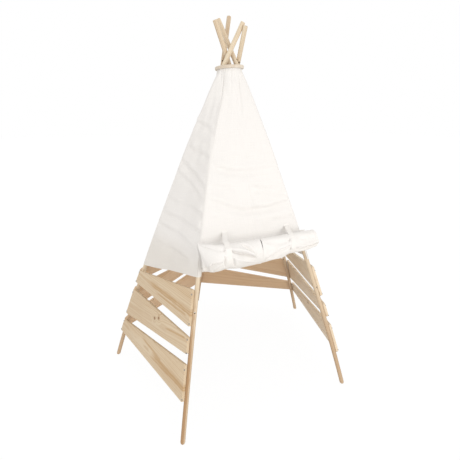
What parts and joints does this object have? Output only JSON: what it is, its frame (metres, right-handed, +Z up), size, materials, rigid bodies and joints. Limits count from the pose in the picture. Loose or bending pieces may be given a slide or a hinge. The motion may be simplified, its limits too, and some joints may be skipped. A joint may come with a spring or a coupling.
{
  "type": "play tent",
  "caption": "Wooden play tent: bowed pine poles crossing in a hoop, tapered boards low on the closed sides, canvas cover above with a rolled-up door.",
  "frame": {"origin": "on the floor, at the middle of the tent's bounding box", "axes": "+Z up, the doorway faces -Y, +X to the right of someone looking in through the doorway"},
  "size_m": [1.5132, 1.3454, 2.1492],
  "materials": {
    "pole_wood": "satin",
    "board_wood": "matte",
    "hoop_wood": "satin",
    "canvas": "matte",
    "tape": "matte"
  },
  "bodies": {
    "frame": {"front_left_pole": "pole_wood", "front_right_pole": "pole_wood", "right_pole": "pole_wood", "back_pole": "pole_wood", "left_pole": "pole_wood", "left_board_bottom": "board_wood", "left_board_middle": "board_wood", "left_board_top": "board_wood", "back_left_board_bottom": "board_wood", "back_left_board_middle": "board_wood", "back_left_board_top": "board_wood", "back_right_board_bottom": "board_wood", "back_right_board_middle": "board_wood", "back_right_board_top": "board_wood", "right_board_bottom": "board_wood", "right_board_middle": "board_wood", "right_board_top": "board_wood", "top_hoop": "hoop_wood", "cover_front": "canvas", "cover_left": "canvas", "cover_back_left": "canvas", "cover_back_right": "canvas", "cover_right": "canvas"},
    "left_leaf": {"door_roll_left": "canvas", "door_tie_left": "tape"},
    "right_leaf": {"door_roll_right": "canvas", "door_tie_right": "tape"}
  },
  "joints": [
    {"name": "left_leaf_fold", "type": "hinge", "parent": "frame", "child": "left_leaf", "pos_m": [-0.0203, -0.3824, 0.975], "axis": [-0.998, 0.0627, 0], "range_deg": [0, 50]},
    {"name": "right_leaf_fold", "type": "hinge", "parent": "frame", "child": "right_leaf", "pos_m": [-0.0203, -0.3824, 0.975], "axis": [-0.998, 0.0627, 0], "range_deg": [0, 50]}
  ]
}
